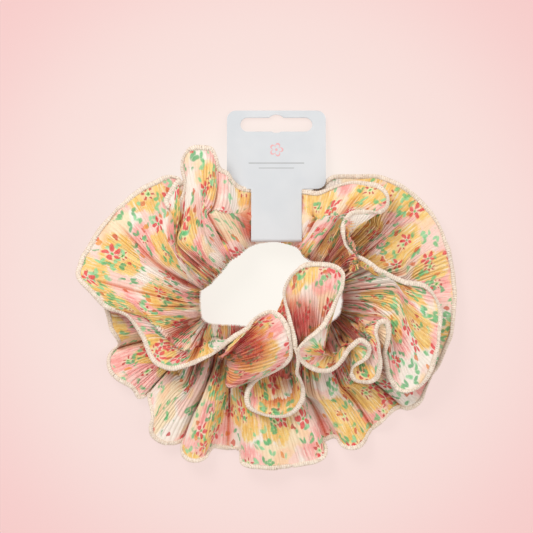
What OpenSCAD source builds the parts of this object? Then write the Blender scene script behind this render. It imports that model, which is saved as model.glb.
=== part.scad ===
// Ruffled hair scrunchie on its folded header card.
// A long pleated strip is folded lengthwise round an elastic ring. The fold,
// closed by a seam, is the gathered casing; the strip's two plies flare out
// from it as a front frill and a rear frill, each with an overlocked edge.
// The frills, casing and threads are divided at the plane where the ring
// is pulled apart, into a left half and a right half that slide on X.

/* [Elastic ring] */
// Half length of the ring's centre line along X
loop_a = 35.5; // [33:0.5:36]
// Half length of the ring's centre line along Y
loop_b = 28.3; // [27.5:0.1:28.5]
// Squareness of the ring's outline
loop_n = 2.6; // [2.2:0.1:3]
// Height of the elastic band
band_h = 6; // [4:0.5:6]
// Thickness of the elastic band
band_t = 1.2; // [0.8:0.1:1.6]

/* [Gathered casing] */
// Outer radius of the gathered casing
casing_r = 5.5; // [5:0.1:6]
// Thickness of the casing's gathered cloth
casing_wall = 1.2; // [0.8:0.1:1.4]
// Depth of the gathers round the casing
gather = 0.35; // [0:0.05:0.5]
// Number of gathers round the ring
gathers = 45; // [20:1:60]

/* [Frills] */
// Thickness of a pleated ply
ply = 2.2; // [1.6:0.1:2.4]
// Number of flutes in the front frill
front_flutes = 8; // [5:1:10]
// Height of the front frill's flutes
front_wave = 8; // [4:0.5:9]
// Number of flutes in the rear frill
rear_flutes = 11; // [7:1:13]
// Height of the rear frill's flutes
rear_wave = 3.6; // [2:0.2:3.6]
// Radius of the overlocked edge
edge_r = 0.9; // [0.7:0.1:1.1]

/* [Header card] */
// Thickness of the card
card_t = 0.4; // [0.3:0.05:0.5]
// Width of the header
header_w = 44; // [40:1:44]
// Width of the neck that passes round the gathers
neck_w = 22.4; // [20:0.2:22.6]
// Radius of the header's corners
corner_r = 4; // [2:0.5:6]
// Width of the hanging slot
slot_w = 32; // [28:1:34]
// Height of the hanging slot
slot_h = 6.4; // [5:0.2:7]

/* [Hidden] */

// Centre of the ring
cx = 1.8;
cy = -1;
// Half of the gap between the two halves, as an angle at the ring's centre
gap = 0.8;
step = 3.2;
left_a = 90 + gap;
right_a = -90 + gap;
sweep = 180 - 2 * gap;
rings = 56;

// Card: crease line, wrap height and header
crease_y = 20.4;
card_x = 4.2;
wrap_h = 13;
header_y = 44;
card_top = 79;
top_gap = 1.1;
card_tilt = atan((wrap_h - top_gap) / (card_top - crease_y));

// How far each frill reaches from the ring's centre, every 10 degrees from +X
front_reach = [70, 66, 66, 66, 64, 58, 50, 46, 44, 44, 44, 44, 60, 67, 70, 75, 79, 84,
               80, 70, 62, 60, 58, 57, 57, 56, 54, 56, 54, 50, 50, 55, 68, 77, 77, 75];
rear_reach = [81, 80, 78, 76, 73, 66, 54, 47, 44, 44, 44, 44, 57, 60, 64, 70, 73, 75,
              75, 73, 75, 76, 74, 78, 80, 78, 76, 78, 77, 75, 78, 76, 78, 80, 81, 81];

function smooth(t) = let (u = min(1, max(0, t))) u * u * (3 - 2 * u);
function mix(a, b, t) = a + (b - a) * t;
function table(t, a) = let (q = ((a % 360) + 360) % 360 / 10, i = floor(q), f = smooth(q - i))
    mix(t[i % 36], t[(i + 1) % 36], f);
function loop_r(a) = 1 / pow(pow(abs(cos(a)) / loop_a, loop_n) + pow(abs(sin(a)) / loop_b, loop_n), 1 / loop_n);
// 1 where the card's neck squeezes the gathers, 0 away from it
function squeeze(a) = let (d = abs(((a % 360) + 360) % 360 - 86.3)) 1 - smooth((d - 24) / 16);
function ring_z(a) = mix(14, 6, squeeze(a));
function case_r(a) = mix(casing_r, 4.6, squeeze(a)) + gather * (cos(gathers * a) - 1);
function at(a, r, z) = [cx + r * cos(a), cy + r * sin(a), z];
function neck_limit(a) = squeeze(a) > 0.99 ? 44 / max(0.5, sin(a)) : 1000;

// Middle surface of each ply: t is 0 at the channel seam, 1 at the edge
function root_r(a) = loop_r(a) + mix(casing_r, 4.6, squeeze(a)) - 0.5;
function ply_r(a, t, reach) = mix(root_r(a), min(table(reach, a), neck_limit(a)), t);
function front_z(a, t) = mix(
    14 + 1.35 + 11 * pow(t, 0.8) + front_wave * pow(t, 1.3) * (0.55 + 0.45 * sin(front_flutes * a + 40)),
    7.2 - 0.8 * t, squeeze(a));
function rear_z(a, t) = mix(
    14 - 1.35 - 7.6 * pow(t, 0.8) + rear_wave * pow(t, 1.2) * sin(rear_flutes * a + 70),
    3.0 - 0.6 * t, squeeze(a));

// A closed solid through two grids of points with the same counts
module slab(top, bottom) {
    ni = len(top);
    nj = len(top[0]);
    n = ni * nj;
    pts = [for (r = top) each r, for (r = bottom) each r];
    function id(i, j) = i * nj + j;
    faces = [
        for (i = [0:ni - 2], j = [0:nj - 2]) each [
            [id(i, j), id(i + 1, j), id(i + 1, j + 1)],
            [id(i, j), id(i + 1, j + 1), id(i, j + 1)],
            [n + id(i, j), n + id(i + 1, j + 1), n + id(i + 1, j)],
            [n + id(i, j), n + id(i, j + 1), n + id(i + 1, j + 1)]],
        for (i = [0:ni - 2]) each [
            [id(i, 0), n + id(i, 0), n + id(i + 1, 0)],
            [id(i, 0), n + id(i + 1, 0), id(i + 1, 0)],
            [id(i, nj - 1), n + id(i + 1, nj - 1), n + id(i, nj - 1)],
            [id(i, nj - 1), id(i + 1, nj - 1), n + id(i + 1, nj - 1)]],
        for (j = [0:nj - 2]) each [
            [id(0, j), n + id(0, j + 1), n + id(0, j)],
            [id(0, j), id(0, j + 1), n + id(0, j + 1)],
            [id(ni - 1, j), n + id(ni - 1, j), n + id(ni - 1, j + 1)],
            [id(ni - 1, j), n + id(ni - 1, j + 1), id(ni - 1, j + 1)]]];
    polyhedron(pts, faces, convexity = 8);
}

// A closed solid swept through sections with the same number of points
module sweep_rings(sections, closed = false) {
    ni = len(sections);
    nj = len(sections[0]);
    pts = [for (r = sections) each r];
    last = closed ? ni - 1 : ni - 2;
    faces = [
        for (i = [0:last], j = [0:nj - 1])
            let (k = (i + 1) % ni, m = (j + 1) % nj) each [
                [i * nj + j, i * nj + m, k * nj + m],
                [i * nj + j, k * nj + m, k * nj + j]],
        if (!closed) [for (j = [nj - 1:-1:0]) j],
        if (!closed) [for (j = [0:nj - 1]) (ni - 1) * nj + j]];
    polyhedron(pts, faces, convexity = 8);
}

module frill(a0, reach, front) {
    grid = function (dz) [for (i = [0:rings]) let (a = a0 + sweep * i / rings)
        [for (j = [0:5]) let (t = j / 5)
            at(a, ply_r(a, t, reach), (front ? front_z(a, t) : rear_z(a, t)) + dz)]];
    slab(grid(ply / 2), grid(-ply / 2));
}

module edging(a0, reach, front) {
    sweep_rings([for (i = [0:rings]) let (
            a = a0 + sweep * i / rings,
            r = ply_r(a, 1, reach),
            z = front ? front_z(a, 1) : rear_z(a, 1))
        [for (j = [0:5]) at(a, r + edge_r * cos(60 * j), z + (ply / 2 + 0.2) * sin(60 * j))]]);
}

// Gathered tube round the elastic, open inside
module casing(a0) {
    nj = 12;
    sec = function (a, r) [for (j = [0:nj - 1])
        at(a, loop_r(a) + r * cos(30 * j), ring_z(a) + r * sin(30 * j))];
    outer = [for (i = [0:rings]) let (a = a0 + sweep * i / rings) sec(a, case_r(a))];
    inner = [for (i = [0:rings]) let (a = a0 + sweep * i / rings) sec(a, mix(casing_r, 4.6, squeeze(a)) - casing_wall)];
    n = (rings + 1) * nj;
    pts = [for (r = outer) each r, for (r = inner) each r];
    faces = [
        for (i = [0:rings - 1], j = [0:nj - 1])
            let (k = i + 1, m = (j + 1) % nj) each [
                [i * nj + j, i * nj + m, k * nj + m],
                [i * nj + j, k * nj + m, k * nj + j],
                [n + i * nj + j, n + k * nj + m, n + i * nj + m],
                [n + i * nj + j, n + k * nj + j, n + k * nj + m]],
        for (j = [0:nj - 1]) let (m = (j + 1) % nj, e = rings * nj) each [
            [j, n + m, m], [j, n + j, n + m],
            [e + j, e + m, n + e + m], [e + j, n + e + m, n + e + j]]];
    polyhedron(pts, faces, convexity = 8);
}

// Lockstitches through both plies, just outside the casing
module channel_stitches(a0) {
    n = 34;
    for (i = [0.5:1:n - 0.5]) {
        a = a0 + sweep * i / n;
        p = at(a, root_r(a) + 1.6, mix(ring_z(a), 5.1, squeeze(a)));
        translate(p) rotate([0, 0, a]) cube([0.5, 1.9, 6.2 - 1.2 * squeeze(a)], center = true);
    }
}

module card_outline(len_y, head_y) {
    difference() {
        union() {
            translate([card_x - neck_w / 2, 0]) square([neck_w, head_y + 1]);
            translate([card_x - header_w / 2 + corner_r, head_y + corner_r])
                square([header_w - 2 * corner_r, len_y - head_y - 2 * corner_r]);
            for (x = [-1, 1]) {
                translate([card_x + x * (header_w / 2 - corner_r), head_y + corner_r]) circle(corner_r, $fn = 48);
                translate([card_x + x * (header_w / 2 - corner_r), len_y - corner_r]) circle(corner_r, $fn = 48);
            }
            translate([card_x - header_w / 2, head_y + corner_r]) square([header_w, len_y - head_y - 2 * corner_r]);
            translate([card_x - header_w / 2 + corner_r, head_y]) square([header_w - 2 * corner_r, len_y - head_y]);
        }
        // Hanging slot with its raised middle
        translate([card_x, len_y - 6.4]) {
            translate([-(slot_w - slot_h) / 2, -slot_h / 2]) square([slot_w - slot_h, slot_h]);
            for (x = [-1, 1]) translate([x * (slot_w - slot_h) / 2, 0]) circle(slot_h / 2, $fn = 48);
            translate([0, 0.4]) circle(4.2, $fn = 48);
        }
    }
}

module elastic_band() {
    color("ivory")
    sweep_rings([for (i = [0:71]) let (a = 5 * i, r = loop_r(a), z = ring_z(a)) [
        at(a, r - band_t / 2, z - band_h / 2 * (1 - 0.06 * squeeze(a))),
        at(a, r + band_t / 2, z - band_h / 2 * (1 - 0.06 * squeeze(a))),
        at(a, r + band_t / 2, z + band_h / 2 * (1 - 0.06 * squeeze(a))),
        at(a, r - band_t / 2, z + band_h / 2 * (1 - 0.06 * squeeze(a)))]], closed = true);
}

// Zigzag bar tacks where the band's ends lap, on the ring's left
module elastic_join_stitch() {
    color("white")
    for (s = [-1, 1], i = [-3:3])
        translate([cx - loop_a + band_t / 2 + 0.15, cy + s * 3 + (i % 2 == 0 ? 0.5 : -0.5), 14 + 0.75 * i])
            cube([0.3, 1.2, 0.35], center = true);
}

module casing_left() { color("navajowhite") casing(left_a); }
module casing_right() { color("navajowhite") casing(right_a); }
module front_frill_left() { color("lightpink") frill(left_a, front_reach, true); }
module front_frill_right() { color("lightpink") frill(right_a, front_reach, true); }
module rear_frill_left() { color("khaki") frill(left_a, rear_reach, false); }
module rear_frill_right() { color("khaki") frill(right_a, rear_reach, false); }
module front_edging_left() { color("antiquewhite") edging(left_a, front_reach, true); }
module front_edging_right() { color("antiquewhite") edging(right_a, front_reach, true); }
module rear_edging_left() { color("antiquewhite") edging(left_a, rear_reach, false); }
module rear_edging_right() { color("antiquewhite") edging(right_a, rear_reach, false); }
module channel_stitch_left() { color("white") channel_stitches(left_a); }
module channel_stitch_right() { color("white") channel_stitches(right_a); }

// Seam allowance that joins the strip's two ends, lying on the rear ply
module closing_seam() {
    color("wheat") {
        aa = 40;
        grid = function (dz) [for (i = [-2:1:2]) let (a = aa + i)
            [for (j = [0:8]) let (t = 0.2 + 0.72 * j / 8)
                at(a, ply_r(a, t, rear_reach), rear_z(a, t) + dz)]];
        slab(grid(ply / 2 + 0.9), grid(ply / 2 - 0.1));
    }
}

module card_front_panel() {
    color("whitesmoke") union() {
        translate([0, crease_y, wrap_h]) rotate([-card_tilt, 0, 0]) translate([0, 0, -card_t])
            linear_extrude(card_t)
                card_outline((card_top - crease_y) / cos(card_tilt), (header_y - crease_y) / cos(card_tilt));
        translate([card_x - neck_w / 2, crease_y, card_t + 0.3]) cube([neck_w, card_t, wrap_h - 0.2 - card_t - 0.3]);
    }
}

module card_back_panel() {
    color("whitesmoke") translate([0, crease_y, 0]) linear_extrude(card_t)
        card_outline(card_top - crease_y, header_y - crease_y);
}

elastic_band();
elastic_join_stitch();
casing_left();
casing_right();
front_frill_left();
front_frill_right();
rear_frill_left();
rear_frill_right();
front_edging_left();
front_edging_right();
rear_edging_left();
rear_edging_right();
channel_stitch_left();
channel_stitch_right();
closing_seam();
card_front_panel();
card_back_panel();
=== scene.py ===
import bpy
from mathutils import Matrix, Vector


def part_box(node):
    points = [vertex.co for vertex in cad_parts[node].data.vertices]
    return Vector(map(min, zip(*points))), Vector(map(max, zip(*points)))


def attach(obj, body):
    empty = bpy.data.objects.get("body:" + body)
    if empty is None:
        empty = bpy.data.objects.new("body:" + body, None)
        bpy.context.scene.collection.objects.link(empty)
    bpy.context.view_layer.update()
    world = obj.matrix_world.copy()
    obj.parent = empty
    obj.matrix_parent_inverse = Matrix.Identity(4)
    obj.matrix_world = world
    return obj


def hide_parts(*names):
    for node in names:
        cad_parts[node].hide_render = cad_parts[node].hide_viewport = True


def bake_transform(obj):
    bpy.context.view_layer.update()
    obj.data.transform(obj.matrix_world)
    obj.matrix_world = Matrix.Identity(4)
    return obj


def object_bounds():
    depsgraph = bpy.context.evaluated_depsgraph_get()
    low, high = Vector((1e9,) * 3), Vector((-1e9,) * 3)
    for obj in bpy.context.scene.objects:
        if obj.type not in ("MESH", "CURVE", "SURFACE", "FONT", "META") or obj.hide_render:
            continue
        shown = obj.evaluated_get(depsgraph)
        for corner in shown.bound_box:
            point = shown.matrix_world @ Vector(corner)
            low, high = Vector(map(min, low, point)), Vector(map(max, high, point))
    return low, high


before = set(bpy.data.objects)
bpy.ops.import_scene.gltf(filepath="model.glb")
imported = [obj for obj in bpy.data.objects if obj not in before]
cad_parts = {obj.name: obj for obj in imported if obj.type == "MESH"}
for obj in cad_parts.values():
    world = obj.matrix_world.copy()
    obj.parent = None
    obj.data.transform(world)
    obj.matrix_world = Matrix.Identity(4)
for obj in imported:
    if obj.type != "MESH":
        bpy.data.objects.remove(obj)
cad_box = [list(map(float, p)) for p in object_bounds()]

import math

import bmesh
import bpy
import numpy as np
from mathutils import Vector

MM = 0.001
SEED = 7

# ------------------------------------------------------------------ the ring and the two edges
# Control points in millimetres in the part's own frame. RING is the casing's centre line as it
# lies, (x, y, place on the ring). Each edge point is (x, y, z, place on the ring it is gathered to).
RING = [
    (4.5, 25.5, -0.5), (-2, 25, 0), (-9.5, 23, 1), (-15.5, 20, 2), (-21.5, 16.5, 3), (-25.5, 11.5, 4),
    (-29.5, 6.5, 5), (-33.5, 2, 6), (-35, -4.5, 7), (-35, -11, 8), (-33.5, -16.5, 9), (-29, -20.5, 10),
    (-22, -22, 11), (-14.5, -22.5, 12), (-7.5, -23.5, 13), (-0.5, -24.5, 14), (6.5, -25.5, 15),
    (14, -25, 16), (20.5, -24, 17), (27, -22, 18), (33, -19, 19), (37.5, -14, 20), (39, -8, 21),
    (39, -1.5, 22), (37.5, 5, 23), (33.5, 10, 24), (29, 14.5, 25), (23, 18, 26), (17.5, 21.5, 27),
    (11, 24, 28), (4.5, 25.5, 28.5),
]
FRONT_EDGE = [
    (4.5, 42, 6, -0.5), (-2, 42.5, 6, 0), (-7.5, 43.5, 7, 0.7), (-12, 44.5, 9, 1.2), (-15.5, 47.5, 12, 1.6),
    (-18, 51, 14, 2), (-20.5, 52, 15, 2.3), (-22, 54, 16, 2.6), (-23, 58, 17, 2.8), (-25, 61.5, 18, 3),
    (-28, 62, 19, 3.2), (-32, 62, 19, 3.5), (-35, 60.5, 18, 3.7), (-37, 57.5, 17, 3.9),
    (-37.5, 52.5, 17, 4.1), (-36.5, 48, 18, 4.3), (-36.5, 44, 18.5, 4.5), (-37.5, 40, 19, 4.65),
    (-40.5, 36.5, 20, 4.8), (-43, 36, 20.5, 4.9), (-44.5, 38, 21, 5), (-42.5, 42, 21, 5.05),
    (-40.5, 45.5, 21, 5.1), (-38.5, 48, 20, 5.2), (-41, 49, 19, 5.3), (-45.5, 48.5, 17, 5.4),
    (-49.5, 46.5, 16, 5.5), (-54, 44.5, 15, 5.6), (-58.5, 41.5, 15, 5.75), (-63, 37.5, 15, 5.9),
    (-67.5, 33.5, 16, 6), (-70.5, 30, 16, 6.15), (-73.5, 26.5, 16, 6.3), (-75.5, 23.5, 16, 6.45),
    (-77.5, 20, 16, 6.6), (-79.5, 16.5, 17, 6.75), (-81.5, 13.5, 17, 6.9), (-82.5, 10, 18, 7.05),
    (-83.5, 7, 19, 7.2), (-83, 4.5, 20, 7.35), (-80.5, 1.5, 21, 7.5), (-77.5, -1.5, 21, 7.7),
    (-75, -4.5, 21, 7.9), (-72.5, -7, 20, 8.1), (-69.5, -9, 20, 8.25), (-66, -10, 19, 8.4),
    (-62, -12, 19, 8.6), (-59.5, -14.5, 18, 8.75), (-57, -18, 18, 8.9), (-54.5, -22, 18, 9.1),
    (-53, -26, 18, 9.3), (-51.5, -29.5, 18, 9.45), (-49.5, -32.5, 19, 9.6), (-46, -34.5, 20, 9.8),
    (-42, -35.5, 21, 9.9), (-37.5, -34.5, 22, 10.05), (-33, -33, 23, 10.2), (-28.5, -31, 25, 10.4),
    (-24, -29, 26, 10.6), (-20, -26, 28, 10.8), (-16, -23, 29, 11), (-12, -20, 30, 11.2),
    (-8.5, -17.5, 31, 11.35), (-6, -14, 32, 11.5), (-2, -11.5, 33, 11.65), (1.5, -10.5, 33, 11.8),
    (4.5, -11.5, 35, 11.95), (7, -14, 37.5, 12.08), (9, -18, 38, 12.2), (10, -22, 37.5, 12.35),
    (10.5, -26.5, 35, 12.5), (10, -30.5, 31.5, 12.65), (7.5, -33.5, 28.5, 12.8), (4.5, -35.5, 25, 12.95),
    (0.5, -37.5, 23, 13.1), (-3.5, -39.5, 21, 13.3), (-6.5, -42, 18, 13.55), (-8.5, -45.5, 17, 13.85),
    (-9, -49.5, 16, 14.1), (-8, -52.5, 15.5, 14.35), (-5.5, -54.5, 15, 14.6), (-1.5, -56, 15, 14.8),
    (3.5, -57, 15, 15), (8.5, -56.5, 15.5, 15.2), (12, -54.5, 16, 15.35), (14.5, -51.5, 17, 15.5),
    (16, -48, 18, 15.6), (16, -44, 20, 15.7), (15, -40, 25, 15.8), (14, -36.5, 28, 15.85),
    (13.5, -32, 31, 15.9), (13, -27.5, 34, 15.95), (12, -23, 36, 16), (11, -18.5, 36.5, 16.05),
    (10, -14, 36, 16.1), (9, -10, 34.5, 16.15), (8, -6, 32, 16.2), (7.5, -2, 32, 16.25),
    (8.5, 1.5, 31, 16.3), (10.5, 5, 30, 16.4), (13.5, 8, 29, 16.5), (16.5, 10, 28, 16.6),
    (20, 10.5, 27, 16.7), (23.5, 10.5, 27, 16.8), (28, 10, 27, 16.9), (31.5, 8.5, 28, 17),
    (33.5, 6, 29, 17.05), (33.5, 3, 30, 17.1), (33, -0.5, 31, 17.15), (31, -4, 32, 17.2),
    (29, -8.5, 33, 17.25), (26.5, -13, 34, 17.3), (24.5, -16.5, 35, 17.35), (21.5, -19.5, 35, 17.4),
    (18, -22, 36, 17.45), (15.5, -24.5, 36, 17.5), (14, -26.5, 35, 17.6), (14, -29.5, 33, 17.75),
    (16.5, -33, 30, 17.9), (19.5, -35, 28, 18.05), (24, -36.5, 26, 18.25), (28, -36, 25, 18.4),
    (31, -34, 25, 18.5), (33.5, -31, 26, 18.6), (35, -27.5, 27, 18.7), (37.5, -25, 28, 18.75),
    (40.5, -22.5, 28, 18.8), (43, -23.5, 27, 18.85), (45, -26, 26, 18.9), (44.5, -29.5, 24, 18.95),
    (42, -32, 22, 19), (39.5, -33.5, 21, 19.05), (37.5, -35.5, 20, 19.1), (37.5, -38.5, 19, 19.2),
    (39.5, -41, 18, 19.3), (42.5, -41.5, 18, 19.4), (45.5, -41.5, 19, 19.5), (48.5, -39.5, 20, 19.6),
    (49.5, -36.5, 22, 19.7), (50, -32, 24, 19.75), (49.5, -27.5, 26, 19.8), (49, -23, 27, 19.85),
    (48, -19.5, 28, 19.9), (48.5, -16.5, 28, 19.95), (50, -14.5, 28, 20), (52.5, -15, 27, 20.05),
    (53.5, -18, 26, 20.1), (53.5, -21, 25, 20.15), (53, -24, 24, 20.2), (52, -27.5, 22, 20.3),
    (52, -31, 20, 20.35), (53, -34.5, 18, 20.4), (53.5, -38, 17, 20.5), (55.5, -41.5, 16, 20.6),
    (57.5, -44, 15, 20.7), (60.5, -45.5, 15, 20.8), (63.5, -45.5, 15, 20.9), (67, -44, 15, 21),
    (70, -41, 15, 21.15), (72.5, -36.5, 16, 21.3), (74, -31, 17, 21.5), (75.5, -25.5, 18, 21.7),
    (76, -18.5, 19, 21.9), (76.5, -13.5, 19, 22.05), (76, -8.5, 19, 22.2), (74.5, -4.5, 20, 22.35),
    (72.5, -1.5, 21, 22.5), (69.5, 1, 22, 22.6), (65.5, 2, 23, 22.7), (61.5, 2.5, 24, 22.8),
    (57, 4, 25, 22.95), (53, 6, 26, 23.1), (49, 8, 27, 23.25), (45.5, 10.5, 28, 23.4), (41.5, 13, 28, 23.55),
    (38, 15, 28, 23.7), (35.5, 18, 28, 23.85), (34, 22, 28, 24), (33.5, 26.5, 28, 24.2),
    (35, 30.5, 27, 24.4), (37.5, 33, 26, 24.6), (41, 33.5, 25, 24.8), (45.5, 33.5, 24, 25),
    (50, 33.5, 22, 25.15), (53, 36, 21, 25.3), (53.5, 39, 20, 25.45), (52.5, 42, 19, 25.6),
    (49, 45, 18, 25.8), (43.5, 46, 17, 26), (37.5, 46.5, 16, 26.2), (32.5, 45.5, 15, 26.45),
    (28, 44, 13, 26.7), (22.5, 42, 11, 27), (18, 42.5, 9, 27.4), (14.5, 43, 7, 27.8), (10, 42.5, 6, 28.2),
    (4.5, 42, 6, 28.5),
]
REAR_EDGE = [
    (4.5, 41.5, 2, -0.5), (-2, 42, 2, 0), (-7.5, 42, 2, 0.7), (-12, 43.5, 3, 1.2), (-17.5, 48, 4, 1.8),
    (-23, 51.5, 5, 2.4), (-29.5, 51.5, 7, 3), (-34, 49, 5, 3.5), (-39.5, 45.5, 3, 4), (-45, 43.5, 3, 4.5),
    (-49.5, 41, 6, 5), (-55, 38, 8, 5.3), (-61, 33.5, 6, 5.6), (-65.5, 28.5, 3, 5.9), (-69, 23, 2, 6.2),
    (-72.5, 18, 5, 6.5), (-75.5, 13.5, 8, 6.8), (-77.5, 9, 6, 7.1), (-77.5, 3.5, 3, 7.4),
    (-75.5, -1, 2, 7.7), (-73, -5.5, 3, 7.9), (-71.5, -9, 5, 8.1), (-70, -13.5, 7, 8.3), (-69, -18, 8, 8.45),
    (-66.5, -22, 7, 8.6), (-65.5, -24.5, 4, 8.7), (-66.5, -26, 2, 8.8), (-69.5, -29, 2, 8.9),
    (-70.5, -32.5, 4, 9.05), (-69.5, -37, 6, 9.2), (-66, -40.5, 7, 9.35), (-62.5, -42.5, 6, 9.45),
    (-60, -44, 5, 9.5), (-58.5, -46, 4, 9.55), (-57, -48.5, 4, 9.6), (-54.5, -48, 3, 9.65),
    (-53.5, -45.5, 2, 9.7), (-52.5, -47, 3, 9.8), (-52, -50, 5, 9.9), (-51, -54, 7, 10),
    (-50.5, -57.5, 8, 10.1), (-51.5, -61.5, 8, 10.2), (-51, -65, 7, 10.3), (-48.5, -67.5, 6, 10.4),
    (-45, -69, 5, 10.55), (-41, -69, 4, 10.7), (-37.5, -67.5, 2, 10.85), (-35.5, -65.5, 1.5, 10.9),
    (-37, -68, 2, 10.95), (-38, -71.5, 4, 11.05), (-37, -74.5, 6, 11.15), (-33.5, -76.5, 8, 11.25),
    (-30.5, -76.5, 8, 11.35), (-28, -75.5, 7, 11.45), (-26, -72.5, 4, 11.55), (-24, -70.5, 2, 11.7),
    (-20, -71, 1.5, 11.9), (-15.5, -71.5, 1.5, 12.1), (-12.5, -71.5, 2, 12.25), (-11.5, -74, 4, 12.4),
    (-11, -77.5, 6, 12.5), (-8, -79, 8, 12.65), (-3, -79.5, 9, 12.9), (2, -80, 8, 13.2),
    (7.5, -79.5, 5, 13.7), (12, -79, 4, 14.1), (17, -78, 6, 14.6), (21.5, -77, 8, 15.1), (25, -75, 8, 15.4),
    (26, -72.5, 6, 15.55), (25.5, -69.5, 4, 15.65), (24, -68, 2, 15.75), (26, -67.5, 1.5, 15.9),
    (29.5, -66, 2, 16.1), (31.5, -66.5, 4, 16.3), (33.5, -69.5, 6, 16.5), (37, -71, 8, 16.8),
    (40.5, -70.5, 8, 17.1), (43, -68.5, 6, 17.35), (45, -65, 3, 17.6), (47, -62.5, 2, 17.75),
    (49.5, -60.5, 3.5, 17.9), (53, -57.5, 5, 18.2), (56.5, -54, 4, 18.45), (59.5, -53, 2, 18.65),
    (62.5, -53.5, 4, 18.85), (65.5, -52.5, 6, 19.05), (68.5, -49.5, 7, 19.2), (70, -45.5, 7, 19.4),
    (72, -41.5, 6, 19.6), (73.5, -38, 5, 19.75), (76, -34.5, 4.5, 19.9), (77.5, -31, 5, 20.05),
    (79.5, -26, 6, 20.25), (81.5, -21.5, 8, 20.5), (82.5, -15, 8, 20.8), (83, -9, 6.5, 21.05),
    (83.5, -3, 5.5, 21.3), (83, 2.5, 5, 21.6), (82.5, 8, 5.5, 21.9), (81.5, 12.5, 6.5, 22.1),
    (80.5, 17, 8, 22.35), (79, 20.5, 8, 22.55), (77.5, 25, 7, 22.75), (75.5, 29, 6, 23),
    (73, 33, 5.5, 23.25), (69.5, 37, 6, 23.5), (66, 40.5, 7, 23.75), (62, 43.5, 8, 24), (58, 46, 9, 24.25),
    (53.5, 48, 8, 24.5), (48.5, 49.5, 6, 24.8), (43, 49.5, 4.5, 25.1), (37.5, 49.5, 4, 25.45),
    (32.5, 49.5, 4, 25.8), (29, 49, 5, 26.1), (26.5, 47, 5, 26.4), (24.5, 44.5, 4, 26.8),
    (20, 42.5, 3, 27.3), (14.5, 42, 2, 27.8), (10, 42, 2, 28.2), (4.5, 41.5, 2, 28.5),
]

PLY_W = 48.0        # width of each free ply, from the channel seam to its edge


# ------------------------------------------------------------------ small numeric helpers
def spline(values, knots, at):
    """Smooth periodic interpolation of rows of values at places along knots."""
    values = np.asarray(values, float)
    knots = np.asarray(knots, float)
    n = len(knots) - 1                      # last row repeats the first
    h = np.diff(knots)
    d = np.diff(values, axis=0) / h[:, None]
    m = np.zeros_like(values)
    hp = np.roll(h, 1)
    dp = np.roll(d, 1, axis=0)
    m[:n] = (h[:, None] * dp + hp[:, None] * d) / (h + hp)[:, None]
    m[n] = m[0]
    at = np.clip(at, knots[0], knots[-1])
    i = np.clip(np.searchsorted(knots, at, side="right") - 1, 0, n - 1)
    t = ((at - knots[i]) / h[i])[:, None]
    hh = h[i][:, None]
    t2, t3 = t * t, t * t * t
    return ((2 * t3 - 3 * t2 + 1) * values[i] + (t3 - 2 * t2 + t) * hh * m[i]
            + (-2 * t3 + 3 * t2) * values[i + 1] + (t3 - t2) * hh * m[i + 1])


def noise1(x, seed, period):
    """Smooth 1-D noise in -1..1 with the given whole-number period, cell size 1."""
    rng = np.random.RandomState(seed)
    table = rng.uniform(-1, 1, period)
    i = np.floor(x).astype(int)
    f = x - i
    f = f * f * (3 - 2 * f)
    return table[i % period] * (1 - f) + table[(i + 1) % period] * f


def smooth(t):
    t = np.clip(t, 0, 1)
    return t * t * (3 - 2 * t)


def unit(v):
    return v / np.maximum(np.linalg.norm(v, axis=-1, keepdims=True), 1e-9)


def blur(a, width, closed=True):
    """Running mean of a along its first axis, over a whole number of rows."""
    if width < 2:
        return a
    k = np.ones(width) / width
    pad = width
    b = np.concatenate([a[-pad:], a, a[:pad]]) if closed else np.pad(a, [(pad, pad)] + [(0, 0)] * (a.ndim - 1), "edge")
    out = np.apply_along_axis(lambda c: np.convolve(c, k, "same"), 0, b)
    return out[pad:-pad]


def grid_normals(p, closed=True):
    """Unit normals of a grid of points, first axis round the ring."""
    if closed:
        du = np.roll(p, -1, 0) - np.roll(p, 1, 0)
    else:
        du = np.gradient(p, axis=0)
    dv = np.gradient(p, axis=1)
    return unit(np.cross(dv, du))


def grid_mesh(name, p, closed_u=True, closed_v=False, uv=None, attrs=None):
    """A mesh object from a grid of points in millimetres."""
    nu, nv = p.shape[:2]
    verts = (p.reshape(-1, 3) * MM)
    iu = np.arange(nu if closed_u else nu - 1)
    iv = np.arange(nv if closed_v else nv - 1)
    a, b = np.meshgrid(iu, iv, indexing="ij")
    a2, b2 = (a + 1) % nu, (b + 1) % nv
    quads = np.stack([a * nv + b, a2 * nv + b, a2 * nv + b2, a * nv + b2], -1).reshape(-1, 4)
    me = bpy.data.meshes.new(name)
    me.vertices.add(len(verts))
    me.vertices.foreach_set("co", verts.astype(np.float32).ravel())
    me.loops.add(quads.size)
    me.loops.foreach_set("vertex_index", quads.astype(np.int32).ravel())
    me.polygons.add(len(quads))
    me.polygons.foreach_set("loop_start", (np.arange(len(quads)) * 4).astype(np.int32))
    me.update(calc_edges=True)
    if uv is not None:                      # per-vertex cloth coordinates, with the seam closed per loop
        flat = uv.reshape(-1, 2)[quads.ravel()].reshape(-1, 4, 2).copy()
        if closed_u:
            wrap = (a == nu - 1).reshape(-1)
            span = uv_span(uv)
            flat[wrap, 1, 0] += span
            flat[wrap, 2, 0] += span
        layer = me.uv_layers.new(name="Cloth")
        layer.data.foreach_set("uv", flat.astype(np.float32).ravel())
    for key, val in (attrs or {}).items():
        at = me.attributes.new(key, "FLOAT", "POINT")
        at.data.foreach_set("value", val.reshape(-1).astype(np.float32))
    me.polygons.foreach_set("use_smooth", np.ones(len(quads), bool))
    me.validate()
    ob = bpy.data.objects.new(name, me)
    bpy.context.scene.collection.objects.link(ob)
    return ob


def uv_span(uv):
    step = np.median(np.diff(uv[:, 0, 0]))
    return uv[-1, 0, 0] - uv[0, 0, 0] + step


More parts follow.
